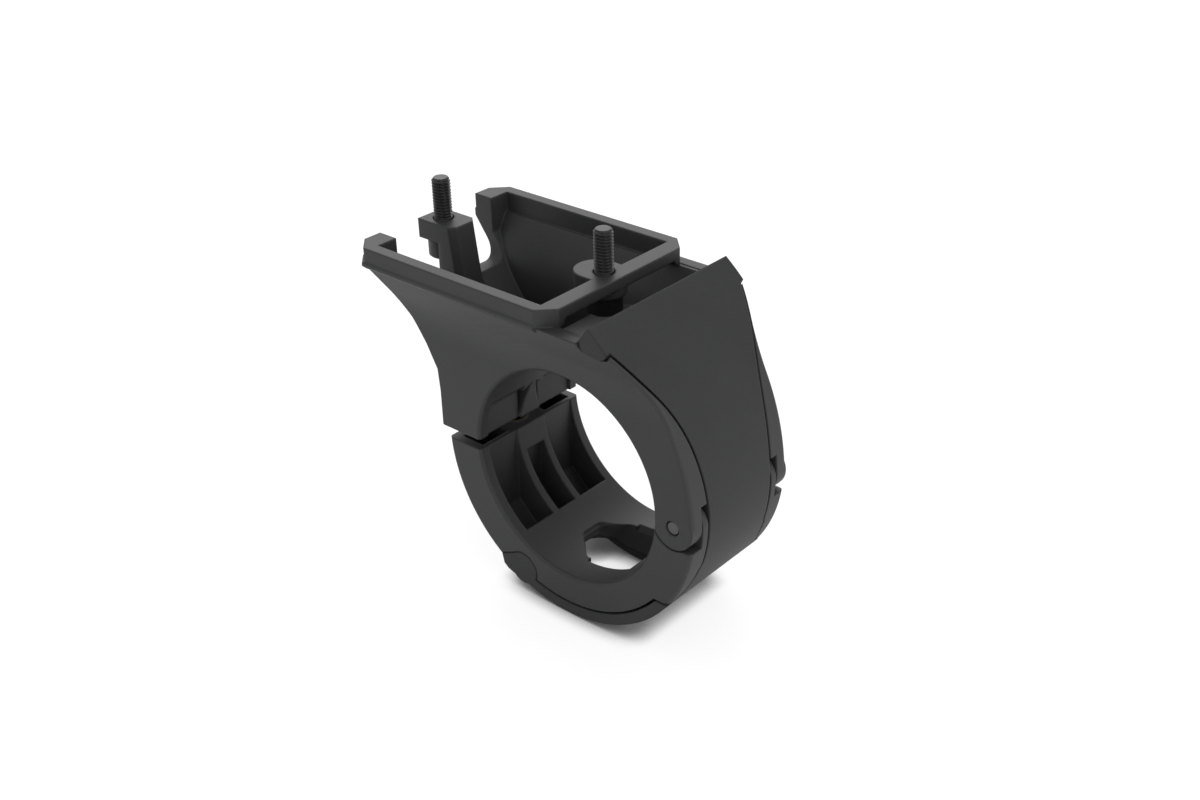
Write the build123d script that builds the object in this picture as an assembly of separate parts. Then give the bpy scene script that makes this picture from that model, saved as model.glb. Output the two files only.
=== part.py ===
"""E-bike display mount for a 35 mm handlebar.

A hinged two-piece ring grips the bar, a flared tray above it carries the display on two screws,
and a clip-on front cover hides the display cable on its way down to a window in the lower clamp.
Frame: origin in the middle of the handlebar bore, +X along the bar, the cover faces -Y, +Z is up.
"""
from math import asin, atan, cos, radians, sin, sqrt, tan
import os

from build123d import *

os.makedirs("parts", exist_ok=True)

# Clamp ring round the handlebar
bore_r = 17.5
ring_wall = 7.0
ring_w = 23.1
split_z = 0.3
split_gap = 1.8
shell = 2.5
edge_round = 0.8
flank_round = 0.7
bore_bevel = 0.4

# Hinge at the front of the ring
ear_t = 2.35
ear_gap = 0.25
cup_gap = 0.3
pin_d = 2.3
pin_len = 5.4
pin_sink = 0.15
pin_play = 0.05
notch_gap = 0.2
lip_drop = 3.4

# Display tray and its rim
rim_z = 29.8
rim_w = 32.3
rim_front = -2.45
rear_lip = 3.35
lip_out = 0.25
lip_cut = 2.2
lip_low = 0.7
lip_high = 0.4
lip_bevel = 0.2
band_h = 2.8
rail_w = 2.0
bar_w = 2.95
bar_t = 1.8
hook_t = 3.66
hook_gap_w = 20.9
hook_drop = 5.9
leg_end_w = 25.8
leg_end_in = 0.7
front_cut = 2.6
rear_cut = 2.5
flare_z = 19.1
flare_slope = 0.57
flare_round = 14.0
skin = 2.2

# Rear wall, which leans back from the leg to the rim
leg_y = 25.9
leg_round = 0.6
bend_z = 8.95
bend_round = 8.0
wall_top_in = 1.0
corner_cuts = ((-1, 0.25), (6.4, 0.25), (10.2, 0.9), (14.0, 1.5), (18.0, 1.8), (22.0, 2.05), (27.1, 2.4))
leg_skin = 1.9
inner_bend_up = 2.0
inner_bend_round = 5.0
window_z = 19.8
window_round = 2.8

# Display screws, M3 socket heads below the rim with their threads up
screw_d = 3.0
screw_len = 10.0
screw_head_d = 5.5
screw_head_h = 3.0
socket_af = 2.5
socket_deep = 1.6
screw_hole_d = 3.4
screw_neck_d = 2.6
front_screw_y = 0.97
screw_pitch = 33.58
lug_w = 6.8
lug_long = 1.5
lug_t = 3.2
post_w = 5.5
post_front_in = 4.7
post_rear_out = 3.0
post_plate_in = 3.5
post_toe_in = 6.5
post_foot_up = 1.0
post_toe_z = 17.0
post_bevel = 1.0
head_play = 0.25

# Clamp bolt, an M3 socket head that runs down through the rear leg into a brass insert
bolt_y = 21.0
seat_z = 8.5
bolt_len = 14.0
bolt_lift = 5.0
insert_d = 4.2
insert_len = 4.0
thread_play = 0.05

# Pockets moulded into the bore side of the two halves
pocket_w = 19.3
pocket_end_y = 10.1
pocket_skin = 1.8
pocket_clear = 0.05
rib_t = 1.2
rib_gap_w = 4.1
slot_wall = 0.8
slot_in_w = 8.6
slot_w = 20.2
slot_deep = 5.0
leg_pocket_h = 6.2
leg_pocket_in = 0.4
leg_pocket_fall = 1.5
leg_boss_w = 4.4
leg_notch_w = 1.8
leg_notch_h = 5.0
leg_notch_in = 1.8

# Front cover
shield_r = 40.0
shield_start = 6.0
strap_t = 1.8
shield_t = 1.3
seat_play = 0.2
groove = 0.4
seat_w = 1.5
cover_top = 29.68
cover_top_w = 31.34
strap_w = 14.72
strap_wide_z = -14.5
strap_side = ((1.7, -12.6), (0.5, -8.0))
shield_side = ((0.6, 9.7), (2.0, 16.2), (3.9, 20.4), (7.6, 26.9))
ramp_lean = 30.0
ear_side_t = 2.6
ear_outline = ((-9.5, 0), (-7.7, 2.38), (-8.2, 3.48), (-9.3, 3.98), (-11.2, 4.18), (-12.3, 3.88), (-12.75, 2.93))
ear_soft = 0.5
ear_soft_from = 3.2
knuckle_y = 9.3
knuckle_z = -20.4
knuckle_r = 2.8
toe_play = 0.2
toe_outline = ((9.9, -17.65), (14.0, -19.5), (13.6, -21.2), (12.7, -21.9))
toe_heel_z = -23.0
toe_in = 1.0

# Cable way, from behind the cover to the window in the lower clamp
channel_w = 11.2
channel_floor = 2.2
window_half = 6.6
window_front = -8.8
cable_window_rear = 2.8
cable_window_nose = 0.8
cable_window_out = 9.5
cable_window_spread = 3.8
cable_window_lip = 0.9
cable_window_round = 1.5
cable_window_skin = 1.0

# Worked out from the sizes above
ring_r = bore_r + ring_wall
half_w = ring_w / 2
pin_y = -(bore_r + ring_r) / 2
ear_r = ring_wall / 2
ear_x = half_w - ear_t
knuckle_x = ear_x - ear_gap
lower_top = split_z - split_gap
rear_screw_y = front_screw_y + screw_pitch
rim_rear = rear_screw_y + rear_lip
hook_y = rim_rear - hook_t
shoulder_z = rim_z - band_h
wall_top_z = shoulder_z - wall_top_in
wall_slope = (rim_rear + lip_out - leg_y) / (wall_top_z - bend_z)
post_front = rear_screw_y - post_front_in
post_toe_y = rear_screw_y - post_toe_in
shoulder_w = half_w + flare_slope * (shoulder_z - flare_z)
shield_y = (shield_r - ring_r) * cos(radians(shield_start))
shield_z = -(shield_r - ring_r) * sin(radians(shield_start))
strap_r = ring_r - strap_t
bed_r = strap_r - groove
window_top = ring_wall / 2 - bore_r
window_low = cable_window_skin - ring_r
far = 60.0


def side(face, half):
    """Extrude a side view, drawn in Y and Z, by half to both sides of X = 0."""
    return extrude(Plane.YZ * face, half, both=True)


def side_pair(face, inner, outer):
    """Extrude a side view between two distances from X = 0, on both sides."""
    return side(face, outer) - side(face, inner)


def front(face, y_low, y_high):
    """Extrude a front view, drawn in X and Z, between two places along Y."""
    return extrude(Plane.XZ.offset(-y_high) * face, y_high - y_low)


def upright(x, y, r, z_low, z_high):
    """A vertical round bar between two heights."""
    return Pos(x, y, z_low) * Cylinder(r, z_high - z_low, align=(Align.CENTER, Align.CENTER, Align.MIN))


def block(x_low, x_high, y_low, y_high, z_low, z_high):
    """A box between two corners."""
    size = (x_high - x_low, y_high - y_low, z_high - z_low)
    return Pos(x_low, y_low, z_low) * Box(*size, align=(Align.MIN, Align.MIN, Align.MIN))


def disc(y, z, r):
    """A round face in the side view."""
    return Pos(y, z) * Circle(r)


def ring_sector(inner, outer, corners):
    """The part of a ring about the bore that lies inside a polygon, in the side view."""
    return (Circle(outer) - Circle(inner)) & make_face(Polyline(*corners, close=True))


def vertices_at(face, x, y):
    """The corner of a flat face at a place in its own plane."""
    return [v for v in face.vertices() if abs(v.X - x) < 0.01 and abs(v.Y - y) < 0.01]


def shield_point(z, inset):
    """Point of the front surface at height z, set back by inset."""
    r = shield_r - inset
    return (shield_y - sqrt(r**2 - (z - shield_z) ** 2), z)


def shield_edges(z_top, inset):
    """Arcs of the front surface, set back by inset, from height z_top down to the split plane."""
    r = shield_r - inset
    turn = asin((z_top - shield_z) / r)
    middle = (turn + radians(shield_start)) / 2
    join = radians(shield_start)
    ring = ring_r - inset
    top = shield_point(z_top, inset)
    mid = (shield_y - r * cos(middle), shield_z + r * sin(middle))
    foot = (-ring * cos(join), ring * sin(join))
    low_mid = (-ring * cos(join / 2), ring * sin(join / 2))
    return [ThreePointArc(top, mid, foot), ThreePointArc(foot, low_mid, (-ring, 0))]


def cover_half_edge(margin):
    """Right edge of the cover in the front view, widened by margin, from the strap up to the rim."""
    strap = strap_w / 2 + margin
    waist = (strap, 0)
    rise = [(strap + out, z) for out, z in shield_side]
    slope = tan(radians(ramp_lean))
    upper = Spline(waist, *rise[:3], tangents=((0, 1), (slope, 1)))
    lower = Spline((half_w + 1 + margin, strap_wide_z + margin), *[(strap + out, z) for out, z in strap_side],
                   waist, tangents=((-1, 0.12), (0, 1)))
    return lower, upper, Line(rise[2], rise[3])


def cover_outline(margin):
    """Front view of the cover, widened by margin all round."""
    lower, upper, ramp = cover_half_edge(margin)
    top_x = cover_top_w / 2 + margin
    wide_x = half_w + 1 + margin
    right = [lower, upper, ramp, Polyline(ramp @ 1, (top_x, (ramp @ 1).Y), (top_x, far), (0, far)),
             Polyline((0, -far), (wide_x, -far), lower @ 0)]
    half = make_face(right + [Line((0, -far), (0, far))])
    return half + mirror(half, Plane.YZ)


def rim_outline():
    """Plan of the rim with its cut corners."""
    x = rim_w / 2
    return Polyline((x, rim_front + front_cut), (x - front_cut, rim_front), (front_cut - x, rim_front),
                    (-x, rim_front + front_cut), (-x, rim_rear - rear_cut), (rear_cut - x, rim_rear),
                    (x - rear_cut, rim_rear), (x, rim_rear - rear_cut), close=True)


def flare_face(inset):
    """Front view of the side walls, from the ring up to the shoulder, set in by inset."""
    x = half_w - inset
    top = shoulder_w - inset
    face = make_face(Polyline((x, -far / 6), (x, flare_z), (top, shoulder_z), (-top, shoulder_z),
                              (-x, flare_z), (-x, -far / 6), close=True))
    knees = [v for v in face.vertices() if abs(v.Y - flare_z) < 0.01]
    return fillet(knees, flare_round)


def rear_face():
    """Side view of all that lies in front of the rear wall's outer face."""
    top_y = rim_rear + lip_out
    face = make_face(Polyline((0, split_z), (leg_y, split_z), (leg_y, bend_z), (top_y, wall_top_z),
                              (top_y, shoulder_z), (0, shoulder_z), close=True))
    face = fillet(vertices_at(face, leg_y, split_z), leg_round)
    return fillet(vertices_at(face, leg_y, bend_z), bend_round)


def bent(z, start, knee_z, slope, r):
    """Where a wall is at height z: upright at start, then leaning outwards past a rounded knee."""
    turn = atan(slope)
    low = knee_z - r * tan(turn / 2)
    if z <= low:
        return start
    if z < low + r * sin(turn):
        return start + r - sqrt(r**2 - (z - low) ** 2)
    return start + slope * (z - knee_z)


def rear_corner():
    """What the body's rear corner on the right loses to its slanting cut."""
    sections = []
    for z, cut in corner_cuts:
        x = bent(z, half_w, flare_z, flare_slope, flare_round)
        y = min(bent(z, leg_y, bend_z, wall_slope, bend_round), rim_rear + lip_out)
        sections.append(Pos(0, 0, z) * make_face(Polyline((x, y - cut), (x + far / 6, y + far / 6), (x - cut, y),
                                                          close=True)))
    return loft(sections, ruled=True)


def lip_outline(z, grow):
    """Plan of the lip round the foot of the rim, grown outwards."""
    x, y = rim_w / 2 + grow, rim_rear + grow
    start_y = rim_front + front_cut
    cut = lip_cut + grow / 2
    return Pos(0, 0, z) * make_face(Polyline((x, start_y), (x, y - cut), (x - cut, y), (cut - x, y), (-x, y - cut),
                                             (-x, start_y), close=True))


def rim_lip():
    """Rounded lip between the flared sides and the rim."""
    low, high = shoulder_z - lip_low, shoulder_z + lip_high
    return loft([lip_outline(low, -lip_out), lip_outline(low + 2 * lip_out, lip_out),
                 lip_outline(high - lip_bevel, lip_out), lip_outline(high, lip_out - lip_bevel)], ruled=True)


def upper_blank():
    """Upper half of the ring with its flared sides, before anything is hollowed out."""
    nose = make_face(shield_edges(shoulder_z, 0)
                     + [Polyline((-ring_r, 0), (0, 0), (0, shoulder_z), shield_point(shoulder_z, 0))])
    body = side(nose + rear_face(), far / 3) & front(flare_face(0), -far, far)
    flank = [e for e in body.edges() if is_front_edge(e)]
    body = fillet(flank, flank_round) - rear_corner() - mirror(rear_corner(), Plane.YZ)
    ears = side(disc(pin_y, 0, ear_r), half_w)
    rim = extrude(Pos(0, 0, shoulder_z) * make_face(rim_outline()), band_h)
    return body + ears + rim + rim_lip()


def is_front_edge(edge):
    """Whether an edge runs up one of the front surface's two sides."""
    at = edge @ 0.5
    reach = sqrt((at.Y - shield_y) ** 2 + (at.Z - shield_z) ** 2)
    return abs(reach - shield_r) < 0.01 and abs(at.X) > half_w - 0.01 and at.Z > 0


def rear_window():
    """Opening through the rear wall between the two hooks, with rounded lower corners."""
    x = hook_gap_w / 2
    face = make_face(Polyline((-x, window_z), (x, window_z), (x, far), (-x, far), close=True))
    face = fillet(vertices_at(face, -x, window_z) + vertices_at(face, x, window_z), window_round)
    return front(face, leg_y, far)


def tray_hollow():
    """Room inside the tray, down to the shell round the bore and the seat of the clamp bolt."""
    z_in = shoulder_z - bar_t / 4
    leg_in = leg_y - leg_skin
    knee_z = bend_z + inner_bend_up
    back = make_face(Polyline((0, seat_z), (leg_in, seat_z), (leg_in, knee_z), (hook_y, rim_z - hook_drop),
                              (hook_y, shoulder_z), (0, shoulder_z), close=True))
    back = fillet(vertices_at(back, leg_in, knee_z), inner_bend_round)
    inside = side(back, far / 3) & front(flare_face(skin), rim_front + bar_w, far)
    inside -= side(Circle(bore_r + shell), far / 3)
    x = rim_w / 2 - rail_w
    mouth = block(-x, x, rim_front + bar_w, hook_y, z_in, rim_z)
    return inside + mouth + rear_window()


def cable_hollow():
    """Open way for the cable in front of the ring and under the rim's front bar."""
    narrow = front(cover_outline(-seat_w), -far, rim_front + bar_w)
    room = block(-far, far, -far, rim_front + bar_w, 0, shoulder_z) - side(Circle(bore_r + shell), far)
    low, high = leg_end_w / 2, leg_end_w / 2 - leg_end_in
    under_bar = front(make_face(Polyline((-low, shoulder_z), (low, shoulder_z), (high, rim_z - bar_t),
                                         (-high, rim_z - bar_t), close=True)), rim_front, rim_front + bar_w)
    return (narrow & room) + under_bar


def cover_bed():
    """Recess in the front of the upper body that the cover lies in, with its groove."""
    behind = make_face(shield_edges(shoulder_z, shield_t + seat_play)
                       + [Polyline((-ring_r + shield_t + seat_play, 0), (0, 0), (0, shoulder_z),
                                   shield_point(shoulder_z, shield_t + seat_play))])
    outside = block(-far, far, -far, 0, -1, shoulder_z) - side(behind, far)
    return outside & front(cover_outline(groove), -far, 0)


def cover_ear(grow):
    """Side view of the tab at the cover's upper corner, grown by its clearance."""
    outline = make_face(Polyline(*[(y, cover_top - drop) for y, drop in ear_outline], close=True))
    soft = fillet([v for v in outline.vertices() if v.Y < cover_top - ear_soft_from], ear_soft)
    return offset(soft, grow, kind=Kind.INTERSECTION) if grow else soft


def display_lug():
    """Boss for the front display screw, in the middle of the rim's front bar."""
    y = front_screw_y
    plan = Pos(0, y) * Circle(lug_w / 2) + Pos(0, y + lug_long) * Circle(lug_w / 2)
    plan += Pos(0, y + lug_long / 2) * Rectangle(lug_w, lug_long)
    return extrude(Pos(0, 0, rim_z - lug_t) * plan, lug_t)


def display_post():
    """Post for the rear display screw: a top plate on a column with an open channel for the driver."""
    plate = block(-post_w / 2, post_w / 2, rear_screw_y - post_plate_in, rear_screw_y + post_rear_out,
                  rim_z - lug_t, rim_z)
    foot_z = seat_z + post_foot_up
    column = make_face(Polyline((post_front, rim_z), (rear_screw_y, rim_z), (rear_screw_y, post_toe_z),
                                (leg_y, foot_z), (leg_y - leg_skin, foot_z), (post_toe_y, post_toe_z), close=True))
    shaft = side(column, post_w / 2)
    tall = (rim_z - post_toe_z) / 2
    nose = [e for e in shaft.edges() if abs(abs((e @ 0.5).X) - post_w / 2) < 0.01 and e.length > tall
            and (e @ 0.5).Y < rear_screw_y - post_plate_in and (e @ 0.5).Z > post_toe_z]
    shaft = chamfer(nose, post_bevel)
    shaft -= upright(0, rear_screw_y, screw_head_d / 2 + head_play, -far, rim_z - lug_t)
    behind = side(rear_face(), far) + block(-far, far, 0, far, wall_top_z, rim_z)
    return (plate + shaft) & behind


def bore_cutter():
    """The handlebar bore with bevelled mouths."""
    x, r = half_w, bore_r
    profile = make_face(Polyline((-x - far, 0), (x + far, 0), (x + far, r + bore_bevel + far),
                                 (x - bore_bevel, r), (bore_bevel - x, r), (-x - far, r + bore_bevel + far),
                                 close=True))
    return revolve(profile, Axis.X)


def leg_pocket():
    """Shallow pocket on the bore side of the rear leg, with the bolt's boss left standing."""
    top = split_z + leg_pocket_h
    back = bore_r + leg_pocket_in
    face = make_face(Polyline((0, split_z), (back, split_z), (back, top - leg_pocket_fall),
                              (back - leg_pocket_fall, top), (0, top), close=True))
    room = side_pair(face, leg_boss_w / 2, pocket_w / 2)
    x = leg_boss_w / 2
    low, high = split_z + leg_pocket_in, split_z + leg_notch_h
    notch = make_face(Polyline((x, low), (x, high), (x - leg_notch_w, top), close=True))
    notch = front(notch + mirror(notch, Plane.YZ), 0, back + leg_notch_in)
    return room + notch


def upper_body():
    """Upper half of the ring, the tray and its rim, moulded in one piece."""
    body = upper_blank() - tray_hollow() - cable_hollow() - cover_bed()
    body -= side(cover_ear(groove), far)
    body += display_lug() + display_post()
    body -= bore_cutter()
    body -= block(-ear_x, ear_x, -far, 0, -far, ear_r + notch_gap)
    body -= leg_pocket()
    body -= upright(0, bolt_y, screw_hole_d / 2, -far, seat_z)
    for y in (front_screw_y, rear_screw_y):
        body -= upright(0, y, screw_hole_d / 2, rim_z - lug_t, rim_z)
    return body - side(disc(pin_y, 0, pin_d / 2 + pin_play), far)


def lower_blank():
    """Lower half of the ring with its edges rounded."""
    face = ring_sector(bore_r, ring_r, [(-far, 0), (0, 0), (0, lower_top), (far, lower_top), (far, -far),
                                        (-far, -far)])
    half = side(face, half_w)
    outer = [e for e in half.edges() if e.geom_type == GeomType.CIRCLE and e.radius > (bore_r + ring_r) / 2]
    return fillet(outer, edge_round) - bore_cutter()


def clamp_pockets():
    """Pockets on the bore side of the lower clamp, and the slots in its top behind them."""
    back = bore_r + pocket_clear
    floor = ring_sector(bore_r - bore_bevel, ring_r - pocket_skin, [(pocket_end_y, 0), (back, 0), (back, -far),
                                                           (pocket_end_y, -far)])
    outer = side_pair(floor, rib_gap_w / 2 + rib_t, pocket_w / 2)
    middle = side(floor, rib_gap_w / 2) & block(-far, far, 0, far, -far, lower_top - insert_len)
    slot_y = back + slot_wall
    slots = block(-slot_w / 2, slot_w / 2, slot_y, ring_r - pocket_skin, lower_top - slot_deep, 0)
    slots -= block(-slot_in_w / 2, slot_in_w / 2, 0, far, -far, 0)
    return outer + middle + slots


def toe_face():
    """Side view of the cover's toe, which hooks into the lower clamp."""
    heel = make_face(Polyline(*toe_outline, (knuckle_y, toe_heel_z), (knuckle_y - toe_in, knuckle_z), close=True))
    return disc(knuckle_y, knuckle_z, knuckle_r) + heel


def window_plan(z, inset):
    """Plan of the cable window at height z with its rear corners cut off, set in by inset."""
    depth = (window_top - z) / (window_top - window_low)
    rear = cable_window_rear + (cable_window_out - cable_window_rear) * depth - inset
    nose = cable_window_nose + cable_window_spread * depth
    x = window_half - inset
    run = x - nose
    front_y = window_front + inset
    plan = make_face(Polyline((-x, front_y), (x, front_y), (x, rear - run), (nose, rear), (-nose, rear),
                              (-x, rear - run), close=True))
    return Pos(0, 0, z) * fillet([v for v in plan.vertices() if v.Y > front_y + cable_window_round], cable_window_round)


def cable_window(inset):
    """Opening for the cable through the lower clamp and the cover's strap, set in by inset."""
    top = window_plan(window_top, inset)
    low = window_plan(window_low, inset)
    return extrude(top, bore_r / 2) + loft([low, top], ruled=True) + extrude(low, -bore_r / 2)


def cable_window_bevel():
    """Bevel round the cable window's edge in the bore."""
    x = window_half
    lip = cable_window_lip
    sides = revolve(make_face(Polyline((-x - lip, bore_r - lip), (x + lip, bore_r - lip), (x - lip, bore_r + lip),
                                       (lip - x, bore_r + lip), close=True)), Axis.X)
    front_z = -sqrt(bore_r**2 - window_front**2)
    nose = side(make_face(Polyline((window_front - lip, front_z + 2 * lip), (window_front + lip, front_z - 2 * lip),
                                   (window_front + lip, -ring_r), (far, -ring_r), (far, front_z + 2 * lip),
                                   close=True)), far)
    z = lip / 2 - bore_r
    rear = loft([window_plan(z - lip / 2, lip), window_plan(z, 0)], ruled=True)
    rear += extrude(window_plan(z, 0), 4 * lip)
    open_front = block(-x, x, -far, 0, -ring_r, 0)
    return sides & nose & (rear + open_front)


def lower_clamp():
    """Lower half of the ring, hinged to the upper body at the front."""
    clamp = lower_blank() + side(disc(pin_y, 0, ear_r), knuckle_x)
    clamp -= side_pair(disc(pin_y, 0, ear_r + cup_gap), knuckle_x, far)
    clamp -= side_pair(make_face(Polyline((-far, -lip_drop), (pin_y, -lip_drop), (pin_y, far), (-far, far),
                                          close=True)), knuckle_x, far)
    bed = side(Circle(far) - Circle(bed_r), far) & front(cover_outline(groove), -far, knuckle_y)
    clamp -= bed
    clamp -= side(offset(toe_face(), toe_play), far)
    channel_end = window_front + 2 * cable_window_lip
    channel = ring_sector(bore_r + channel_floor, far, [(-far, far), (channel_end, far), (channel_end, -far),
                                                        (-far, -far)])
    clamp -= side(channel, channel_w / 2)
    clamp -= clamp_pockets()
    clamp -= cable_window(cable_window_lip)
    clamp -= cable_window_bevel()
    clamp -= upright(0, bolt_y, insert_d / 2, lower_top - insert_len, 0)
    return clamp - side(disc(pin_y, 0, pin_d / 2), far)


def front_cover():
    """Cover in one piece: shield, strap over the hinge and under the clamp, and the hooked toe."""
    outer = shield_edges(cover_top, 0)
    turn = asin((cover_top - shield_z) / shield_r)
    inner_r = shield_r - shield_t
    inner_top = (shield_y - inner_r * cos(turn), shield_z + inner_r * sin(turn))
    inner = shield_edges(inner_top[1], shield_t)
    shield = make_face(outer + inner + [Line(shield_point(cover_top, 0), inner_top),
                                        Line((-ring_r, 0), (shield_t - ring_r, 0))])
    strap = ring_sector(strap_r, ring_r, [(-far, 0), (0, 0), (knuckle_y, -far / 3), (knuckle_y, -far), (-far, -far)])
    plate = side(shield + strap, far) & front(cover_outline(0), -far, far) & block(
        -far, far, -far, far, -far, cover_top)
    trim = block(-half_w, half_w, -far, far, -far, 0) + block(-far, far, -far, far, 0, far)
    toe = side(toe_face(), half_w)
    tabs = side_pair(cover_ear(0), cover_top_w / 2 - ear_side_t, cover_top_w / 2)
    return ((plate & trim) + toe + tabs) - cable_window(0)


def socket_screw(length):
    """M3 socket head screw standing on its thread: the head's seat at Z = 0, the shank downwards."""
    head = Cylinder(screw_head_d / 2, screw_head_h, align=(Align.CENTER, Align.CENTER, Align.MIN))
    head = chamfer(head.edges().group_by(Axis.Z)[-1], 0.3)
    thread = upright(0, 0, screw_d / 2, -length, -lug_t)
    shank = chamfer(thread.edges().group_by(Axis.Z)[0], 0.4) + upright(0, 0, screw_neck_d / 2, -lug_t, 0)
    socket = extrude(Pos(0, 0, screw_head_h) * RegularPolygon(socket_af / 2, 6, major_radius=False), -socket_deep)
    return head + shank - socket


def display_screws():
    """The two screws that hold the display, heads down under the rim."""
    turned = Rot(180, 0, 0) * socket_screw(screw_len)
    seat = rim_z - lug_t
    return [Pos(0, y, seat) * turned for y in (front_screw_y, rear_screw_y)]


def clamp_bolt():
    """The bolt that draws the two halves together, shown backed out of its insert."""
    return Pos(0, bolt_y, seat_z + bolt_lift) * socket_screw(bolt_len)


def clamp_insert():
    """Brass insert pressed into the lower clamp's boss, with a groove between its two knurled bands."""
    tube = upright(0, bolt_y, insert_d / 2, lower_top - insert_len, lower_top)
    groove_z = lower_top - insert_len / 2
    waist = upright(0, bolt_y, insert_d, groove_z - 0.4, groove_z + 0.4) - upright(
        0, bolt_y, insert_d / 2 - 0.25, groove_z - 0.4, groove_z + 0.4)
    return tube - waist - upright(0, bolt_y, screw_d / 2 + thread_play, -far, far)


def hinge_pins():
    """Two dowels, one in each ear, that leave the middle free for the cable."""
    pin = Rot(0, 90, 0) * Cylinder(pin_d / 2, pin_len)
    pin = chamfer(pin.edges().filter_by(GeomType.CIRCLE), 0.2)
    x = half_w - pin_sink - pin_len / 2
    return [Pos(s * x, pin_y, 0) * pin for s in (-1, 1)]


export_step(upper_body(), "parts/upper_body.step")
export_step(lower_clamp(), "parts/lower_clamp.step")
export_step(front_cover(), "parts/front_cover.step")
export_step(Compound(display_screws()), "parts/display_screws.step")
export_step(clamp_bolt(), "parts/clamp_bolt.step")
export_step(clamp_insert(), "parts/clamp_insert.step")
export_step(Compound(hinge_pins()), "parts/hinge_pins.step")
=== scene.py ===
"""Looks of the e-bike display mount: camera, studio, plastics and metals, and threaded screws."""
import math

import bmesh
import bpy
from mathutils import Matrix, Vector


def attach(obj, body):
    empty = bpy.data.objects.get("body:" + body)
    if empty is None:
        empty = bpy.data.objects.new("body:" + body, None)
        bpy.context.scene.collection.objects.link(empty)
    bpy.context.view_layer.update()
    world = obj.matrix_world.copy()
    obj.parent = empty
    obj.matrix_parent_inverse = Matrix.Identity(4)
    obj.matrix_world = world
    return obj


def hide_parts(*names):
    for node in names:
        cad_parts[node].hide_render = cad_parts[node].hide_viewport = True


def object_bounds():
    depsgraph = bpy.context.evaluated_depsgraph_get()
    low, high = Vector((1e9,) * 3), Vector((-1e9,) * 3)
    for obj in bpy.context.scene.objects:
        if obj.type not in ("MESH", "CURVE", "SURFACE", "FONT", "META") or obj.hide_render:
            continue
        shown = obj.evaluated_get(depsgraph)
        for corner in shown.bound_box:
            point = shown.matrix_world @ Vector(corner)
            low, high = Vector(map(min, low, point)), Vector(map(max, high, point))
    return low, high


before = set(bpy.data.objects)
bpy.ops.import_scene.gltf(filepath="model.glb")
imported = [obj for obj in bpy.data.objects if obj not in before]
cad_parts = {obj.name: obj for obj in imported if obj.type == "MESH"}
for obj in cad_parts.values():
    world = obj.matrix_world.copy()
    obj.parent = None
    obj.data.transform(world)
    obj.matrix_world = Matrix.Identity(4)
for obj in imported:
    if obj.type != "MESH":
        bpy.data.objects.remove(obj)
cad_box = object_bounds()

MM = 0.001

# Camera, fitted to the photograph
CAMERA_AT = Vector((-152.93, -132.81, 121.36)) * MM
AZIMUTH = math.radians(-48.529)
ELEVATION = math.radians(29.089)
ROLL = math.radians(-1.364)
LENS = 45.66
SENSOR = 36.0
CLIP_NEAR = 0.005
CLIP_FAR = 20.0

# World: its strength where it lights the part, and where it is seen or mirrored
WORLD_LIGHT = 0.89
WORLD_SEEN = 1.0

# Floor: its colour where it lights the part, and where the camera sees it
FLOOR_GAP = 0.2 * MM
FLOOR_REACH = 6.0
FLOOR_LIGHT = 0.97
FLOOR_SEEN = 0.3

# Glow that whitens the seen floor, and fades where the part closes off the floor's surroundings,
# which paints a soft contact shadow there
OPENNESS_REACH = 5 * MM
OPENNESS_SAMPLES = 12
OPENNESS_CLOSED = 0.4
OPENNESS_FREE = 0.8
GLOW_CLOSED = 0.02
GLOW_FREE = 0.8

# Lamps: name, place and size in metres, power in watts
LAMP_AIM = (0, 0, 0.005)
LAMPS = [
    ("behind", (0.6, 0.53, 0.45), (0.8, 0.5), 2.4),
    ("front_left", (-0.35, -0.35, 0.6), (0.4, 0.4), 0.4),
    ("front", (0, -0.8, 0.3), (0.5, 0.5), 1.6),
]

# Moulded plastic: noise scales in cells a metre, and how far the noise shifts level and roughness
PLASTIC_IOR = 1.5
PLASTIC_TINT = 0.01
FLOW_SCALE = 90
FLOW_DETAIL = 3
SPECK_SCALE = 2600
SPECK_DETAIL = 2
RAMP_LOW = 0.3
RAMP_HIGH = 0.7
LEVEL_SHIFT = 3
PLASTIC_ROUGHNESS_SHIFT = 0.05
GRAIN_HEIGHT = 0.04 * MM
EDGE_SAMPLES = 6

# Machined metal
MARK_SCALE = 900
MARK_DETAIL = 4
METAL_ROUGHNESS_SHIFT = 0.08
MARK_STRENGTH = 0.15
MARK_HEIGHT = 0.03 * MM

# M3 socket head screw, in mm
MAJOR_R = 1.5
PITCH = 0.5
MINOR_R = MAJOR_R - 0.61 * PITCH
HEAD_R = 2.75
HEAD_H = 3.0
HEAD_BEVEL = 0.25
SEAT_BEVEL = 0.12
HEX_ACROSS = 2.5
HEX_DEEP = 1.6
RUN_IN = 0.3
POINT_LENGTH = 0.9 * PITCH
POINT_R = MINOR_R - 0.06
TIP_R = MINOR_R - 0.25

# Its thread: the shape in shares of the pitch, and the turns over which it deepens
HALF_CREST = 0.08
FLANK = 0.34
DEEPENING_TURNS = 0.8

# Its mesh
SIDES = 36
TURNS = [2 * math.pi * i / SIDES for i in range(SIDES)]
RINGS_PER_TURN = 8
SHARP_FROM = math.radians(32)

# Seats and lengths of the screws, in mm. The bolt sits 0.03 above its place in the solid and is 0.1
# shorter, so that it just stays clear at the end of its slide.
DISPLAY_SEATS = [(0, 0.97, 26.6), (0, 34.55, 26.6)]
DISPLAY_SCREW_LENGTH = 10.0
DISPLAY_THREAD_FROM = 3.2
BOLT_SEATS = [(0, 21.0, 13.53)]
BOLT_LENGTH = 13.9
BOLT_THREAD_FROM = 4.0


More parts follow.
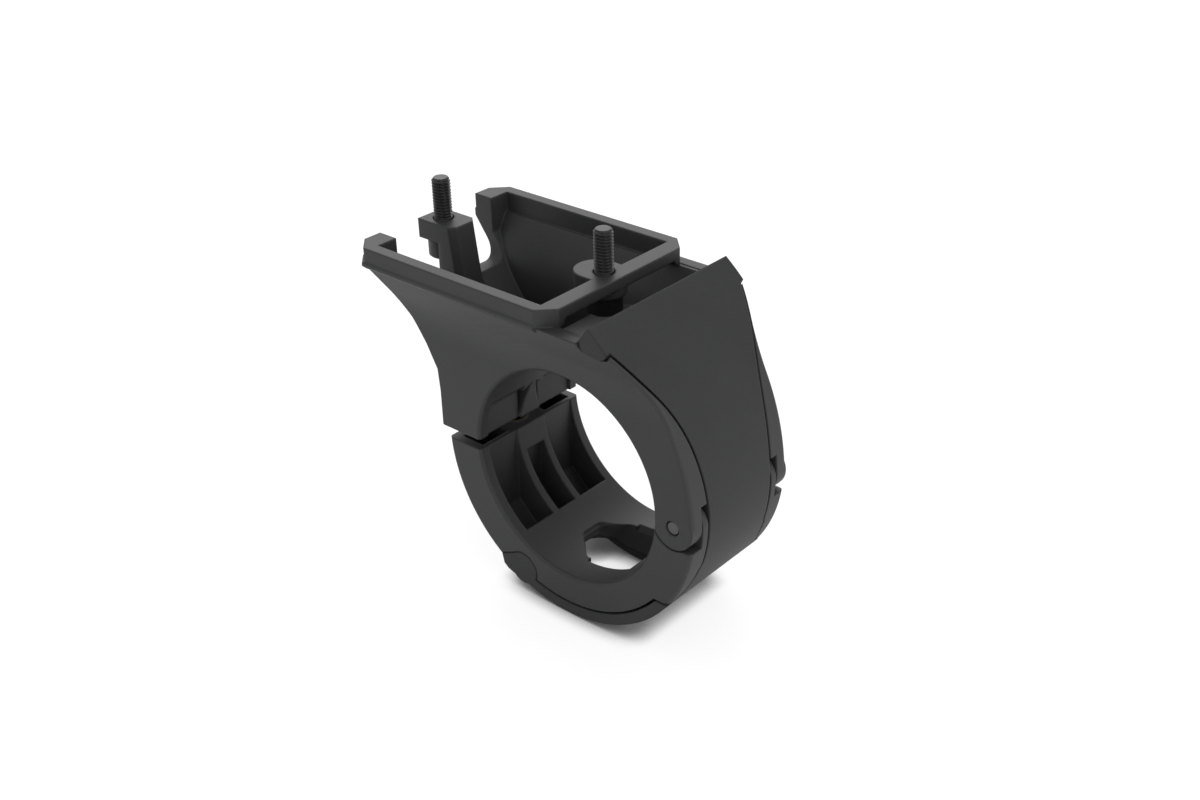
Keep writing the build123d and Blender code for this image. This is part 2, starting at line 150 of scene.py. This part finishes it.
def make_camera():
    """The photograph's camera."""
    back = Vector((math.sin(AZIMUTH) * math.cos(ELEVATION),
                   -math.cos(AZIMUTH) * math.cos(ELEVATION),
                   math.sin(ELEVATION)))
    level = Vector((math.cos(AZIMUTH), math.sin(AZIMUTH), 0))
    upright = back.cross(level)
    right = level * math.cos(ROLL) + upright * math.sin(ROLL)
    up = upright * math.cos(ROLL) - level * math.sin(ROLL)
    data = bpy.data.cameras.new("camera")
    data.lens = LENS
    data.sensor_width = SENSOR
    data.sensor_fit = "HORIZONTAL"
    data.clip_start = CLIP_NEAR
    data.clip_end = CLIP_FAR
    camera = bpy.data.objects.new("camera", data)
    bpy.context.scene.collection.objects.link(camera)
    turn = Matrix((right, up, back)).transposed()
    camera.matrix_world = Matrix.Translation(CAMERA_AT) @ turn.to_4x4()
    bpy.context.scene.camera = camera


def add_node(tree, kind, values=None, **settings):
    """A new node with its settings and then the values of its inputs."""
    node = tree.nodes.new("ShaderNode" + kind)
    for name, value in settings.items():
        setattr(node, name, value)
    for name, value in (values or {}).items():
        node.inputs[name].default_value = value
    return node


def empty_tree(owner, output):
    """The node tree of a material or world with only its output node."""
    owner.use_nodes = True
    owner.node_tree.nodes.clear()
    return owner.node_tree, add_node(owner.node_tree, output)


def grey(level):
    """A very slightly blue grey as a linear colour, from an sRGB level of 0 to 255."""
    share = level / 255
    base = share / 12.92 if share <= 0.04045 else ((share + 0.055) / 1.055) ** 2.4
    return (base * (1 - PLASTIC_TINT), base, base * (1 + PLASTIC_TINT), 1)


def neutral(value):
    """A neutral linear colour."""
    return (value, value, value, 1)


def vary(tree, noise, socket, middle, shift):
    """Let a noise shift a shader's value about a middle."""
    spread = add_node(tree, "MapRange", {"To Min": middle - shift, "To Max": middle + shift})
    tree.links.new(noise, spread.inputs["Value"])
    tree.links.new(spread.outputs["Result"], socket)


def roughen(tree, noise, shader, strength, height):
    """A bump from a noise on a shader's normal; returns the bump node."""
    bump = add_node(tree, "Bump", {"Strength": strength, "Distance": height})
    tree.links.new(noise, bump.inputs["Height"])
    tree.links.new(bump.outputs["Normal"], shader.inputs["Normal"])
    return bump


def moulded_plastic(name, level, shine, roughness, grain, edge):
    """Charcoal moulded plastic: fine spark-eroded grain, faint flow mottling, and edges softened
    over a radius in mm."""
    material = bpy.data.materials.new(name)
    tree, out = empty_tree(material, "OutputMaterial")
    link = tree.links.new
    shader = add_node(tree, "BsdfPrincipled", {"IOR": PLASTIC_IOR, "Specular IOR Level": shine})
    link(shader.outputs["BSDF"], out.inputs["Surface"])

    place = add_node(tree, "TexCoord")
    flow = add_node(tree, "TexNoise", {"Scale": FLOW_SCALE, "Detail": FLOW_DETAIL})
    link(place.outputs["Object"], flow.inputs["Vector"])
    speck = add_node(tree, "TexNoise", {"Scale": SPECK_SCALE, "Detail": SPECK_DETAIL})
    link(place.outputs["Object"], speck.inputs["Vector"])
    half_flow = add_node(tree, "Math", {1: 0.5}, operation="MULTIPLY")
    link(flow.outputs["Fac"], half_flow.inputs[0])
    mean = add_node(tree, "Math", {1: 0.5}, operation="MULTIPLY_ADD")
    link(speck.outputs["Fac"], mean.inputs[0])
    link(half_flow.outputs[0], mean.inputs[2])

    shade = add_node(tree, "ValToRGB")
    dark, light = shade.color_ramp.elements
    dark.position, dark.color = RAMP_LOW, grey(level - LEVEL_SHIFT)
    light.position, light.color = RAMP_HIGH, grey(level + LEVEL_SHIFT)
    link(mean.outputs[0], shade.inputs["Fac"])
    link(shade.outputs["Color"], shader.inputs["Base Color"])
    vary(tree, mean.outputs[0], shader.inputs["Roughness"], roughness, PLASTIC_ROUGHNESS_SHIFT)

    soft = add_node(tree, "Bevel", {"Radius": edge * MM}, samples=EDGE_SAMPLES)
    bump = roughen(tree, speck.outputs["Fac"], shader, grain, GRAIN_HEIGHT)
    link(soft.outputs["Normal"], bump.inputs["Normal"])
    return material


def machined_metal(name, colour, roughness, metallic, wear):
    """Steel or brass with fine uneven marks, the brightest of them brighter by the factor wear."""
    material = bpy.data.materials.new(name)
    tree, out = empty_tree(material, "OutputMaterial")
    link = tree.links.new
    shader = add_node(tree, "BsdfPrincipled", {"Metallic": metallic})
    link(shader.outputs["BSDF"], out.inputs["Surface"])

    place = add_node(tree, "TexCoord")
    marks = add_node(tree, "TexNoise", {"Scale": MARK_SCALE, "Detail": MARK_DETAIL})
    link(place.outputs["Object"], marks.inputs["Vector"])
    worn = tuple(min(1.0, c * wear) for c in colour)
    shade = add_node(tree, "Mix", {"A": colour + (1,), "B": worn + (1,)}, data_type="RGBA")
    link(marks.outputs["Fac"], shade.inputs["Factor"])
    link(shade.outputs["Result"], shader.inputs["Base Color"])
    vary(tree, marks.outputs["Fac"], shader.inputs["Roughness"], roughness, METAL_ROUGHNESS_SHIFT)
    roughen(tree, marks.outputs["Fac"], shader, MARK_STRENGTH, MARK_HEIGHT)
    return material


def dress(node, material):
    """Give a CAD node its material."""
    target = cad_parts[node]
    if not target.material_slots:
        target.data.materials.append(material)
    for slot in target.material_slots:
        slot.link = "OBJECT"
        slot.material = material


def circle(radius):
    """The radii of a round ring."""
    return [radius] * SIDES


def hexagon():
    """The radii of the socket's ring, with every sixth one at a corner."""
    return [HEX_ACROSS / 2 / math.cos(turn % (math.pi / 3) - math.pi / 6) for turn in TURNS]


def thread(z, depth, point):
    """The radii of a ring in the thread, at a share of its depth and of the point's length."""
    radii = []
    for i in range(SIDES):
        phase = (-z / PITCH - i / SIDES) % 1.0
        groove = min(1.0, max(0.0, (abs(phase - 0.5) - HALF_CREST) / FLANK))
        cut = MAJOR_R - (MAJOR_R - MINOR_R) * groove * depth
        radii.append(min(cut, POINT_R + (MAJOR_R - POINT_R) * point))
    return radii


def screw_rings(length, thread_from):
    """Heights and radii of a screw's rings, from its socket's floor over its head to its tip. The
    head's seat is at Z = 0 and the tip at Z = -length."""
    rings = [
        (HEAD_H - HEX_DEEP, hexagon()),
        (HEAD_H, hexagon()),
        (HEAD_H, circle(HEAD_R - HEAD_BEVEL)),
        (HEAD_H - HEAD_BEVEL, circle(HEAD_R)),
        (SEAT_BEVEL, circle(HEAD_R)),
        (0, circle(HEAD_R - SEAT_BEVEL)),
        (0, circle(MAJOR_R)),
        (RUN_IN - thread_from, circle(MAJOR_R)),
    ]
    count = int((length - thread_from) / PITCH * RINGS_PER_TURN)
    for k in range(count + 1):
        z = -thread_from - (length - thread_from) * k / count
        depth = min(1.0, k / (RINGS_PER_TURN * DEEPENING_TURNS))
        point = min(1.0, (length + z) / POINT_LENGTH)
        rings.append((z, thread(z, depth, point)))
    rings.append((-length, circle(TIP_R)))
    return rings


def add_screw(mesh, at, pointing_up, length, thread_from):
    """Add a screw to a mesh, with its seat at a place."""
    rings = []
    for z, radii in screw_rings(length, thread_from):
        rings.append([mesh.verts.new((radius * math.cos(turn), radius * math.sin(turn), z))
                      for radius, turn in zip(radii, TURNS)])
    for first, second in zip(rings, rings[1:]):
        for i in range(SIDES):
            j = (i + 1) % SIDES
            mesh.faces.new((first[i], first[j], second[j], second[i]))
    mesh.faces.new(list(reversed(rings[0])))
    mesh.faces.new(rings[-1])
    flip = Matrix.Rotation(math.pi, 4, "X") if pointing_up else Matrix.Identity(4)
    bmesh.ops.transform(mesh, matrix=Matrix.Translation(Vector(at)) @ flip,
                        verts=[vertex for ring in rings for vertex in ring])


def place_screws(name, node, body, seats, pointing_up, length, thread_from, material):
    """Threaded screws in place of a CAD node of plain ones."""
    mesh = bmesh.new()
    for at in seats:
        add_screw(mesh, at, pointing_up, length, thread_from)
    bmesh.ops.scale(mesh, vec=(MM, MM, MM), verts=mesh.verts)
    bmesh.ops.recalc_face_normals(mesh, faces=mesh.faces)
    data = bpy.data.meshes.new(name)
    mesh.to_mesh(data)
    mesh.free()
    data.materials.append(material)
    data.set_sharp_from_angle(angle=SHARP_FROM)
    for face in data.polygons:
        face.use_smooth = True
    piece = bpy.data.objects.new(name, data)
    bpy.context.scene.collection.objects.link(piece)
    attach(piece, body)
    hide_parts(node)


def make_world():
    """Pale, even light from all round, and a stronger white where the world is seen or mirrored."""
    world = bpy.data.worlds.new("studio")
    bpy.context.scene.world = world
    tree, out = empty_tree(world, "OutputWorld")
    link = tree.links.new
    path = add_node(tree, "LightPath")
    mirrored = add_node(tree, "Math", operation="MAXIMUM")
    link(path.outputs["Is Glossy Ray"], mirrored.inputs[0])
    link(path.outputs["Is Transmission Ray"], mirrored.inputs[1])
    seen = add_node(tree, "Math", operation="MAXIMUM")
    link(path.outputs["Is Camera Ray"], seen.inputs[0])
    link(mirrored.outputs[0], seen.inputs[1])
    light = add_node(tree, "Background", {"Strength": WORLD_LIGHT})
    white = add_node(tree, "Background", {"Strength": WORLD_SEEN})
    mix = add_node(tree, "MixShader")
    link(seen.outputs[0], mix.inputs["Fac"])
    link(light.outputs[0], mix.inputs[1])
    link(white.outputs[0], mix.inputs[2])
    link(mix.outputs[0], out.inputs["Surface"])


def floor_material():
    """White card as it lights the part; to the camera, grey paper under a glow that fades near the
    part into a painted soft contact shadow."""
    material = bpy.data.materials.new("floor_white")
    tree, out = empty_tree(material, "OutputMaterial")
    link = tree.links.new
    card = add_node(tree, "BsdfDiffuse", {"Color": neutral(FLOOR_LIGHT)})
    paper = add_node(tree, "BsdfDiffuse", {"Color": neutral(FLOOR_SEEN)})
    # Painted contact shadow: the glow is dimmed by occlusion near the part, not by the lamps
    openness = add_node(tree, "AmbientOcclusion", {"Distance": OPENNESS_REACH},
                        samples=OPENNESS_SAMPLES)
    shadow = add_node(tree, "MapRange", {"From Min": OPENNESS_CLOSED, "From Max": OPENNESS_FREE,
                                         "To Min": GLOW_CLOSED, "To Max": GLOW_FREE})
    link(openness.outputs["AO"], shadow.inputs["Value"])
    glow = add_node(tree, "Emission")
    link(shadow.outputs["Result"], glow.inputs["Strength"])
    seen = add_node(tree, "AddShader")
    link(paper.outputs[0], seen.inputs[0])
    link(glow.outputs[0], seen.inputs[1])
    path = add_node(tree, "LightPath")
    mix = add_node(tree, "MixShader")
    link(path.outputs["Is Camera Ray"], mix.inputs["Fac"])
    link(card.outputs[0], mix.inputs[1])
    link(seen.outputs[0], mix.inputs[2])
    link(mix.outputs[0], out.inputs["Surface"])
    return material


def make_floor():
    """A wide floor just under the part."""
    low = cad_box[0][2] - FLOOR_GAP
    corners = [(-FLOOR_REACH, -FLOOR_REACH, low), (FLOOR_REACH, -FLOOR_REACH, low),
               (FLOOR_REACH, FLOOR_REACH, low), (-FLOOR_REACH, FLOOR_REACH, low)]
    data = bpy.data.meshes.new("floor")
    data.from_pydata(corners, [], [(0, 1, 2, 3)])
    data.materials.append(floor_material())
    floor = bpy.data.objects.new("floor", data)
    bpy.context.scene.collection.objects.link(floor)


def area_light(name, at, size, power):
    """A large soft lamp that is aimed at the part."""
    data = bpy.data.lights.new(name, "AREA")
    data.shape = "RECTANGLE"
    data.size, data.size_y = size
    data.energy = power
    lamp = bpy.data.objects.new(name, data)
    lamp.location = at
    lamp.rotation_euler = (Vector(at) - Vector(LAMP_AIM)).to_track_quat("Z", "Y").to_euler()
    bpy.context.scene.collection.objects.link(lamp)


make_camera()
make_world()
make_floor()
for lamp in LAMPS:
    area_light(*lamp)

body_plastic = moulded_plastic(
    "body_plastic", level=49, shine=0.36, roughness=0.5, grain=0.35, edge=0.5)
clamp_plastic = moulded_plastic(
    "clamp_plastic", level=49, shine=0.36, roughness=0.5, grain=0.35, edge=0.45)
cover_plastic = moulded_plastic(
    "cover_plastic", level=50, shine=0.2, roughness=0.5, grain=0.28, edge=0.5)
pin_steel = machined_metal(
    "pin_steel", colour=(0.105, 0.105, 0.107), roughness=0.45, metallic=1.0, wear=1.3)
black_oxide = machined_metal(
    "black_oxide", colour=(0.03, 0.03, 0.031), roughness=0.42, metallic=0.7, wear=1.6)
brass = machined_metal(
    "brass", colour=(0.16, 0.125, 0.065), roughness=0.5, metallic=1.0, wear=1.2)

dress("upper_body", body_plastic)
dress("lower_clamp", clamp_plastic)
dress("front_cover", cover_plastic)
dress("hinge_pins", pin_steel)
dress("clamp_insert", brass)

place_screws("display_screws_threaded", "display_screws", "upper_body",
             DISPLAY_SEATS, pointing_up=True, length=DISPLAY_SCREW_LENGTH,
             thread_from=DISPLAY_THREAD_FROM, material=black_oxide)
place_screws("clamp_bolt_threaded", "clamp_bolt", "clamp_bolt",
             BOLT_SEATS, pointing_up=False, length=BOLT_LENGTH,
             thread_from=BOLT_THREAD_FROM, material=black_oxide)

scene = bpy.context.scene
scene.view_settings.view_transform = "Standard"
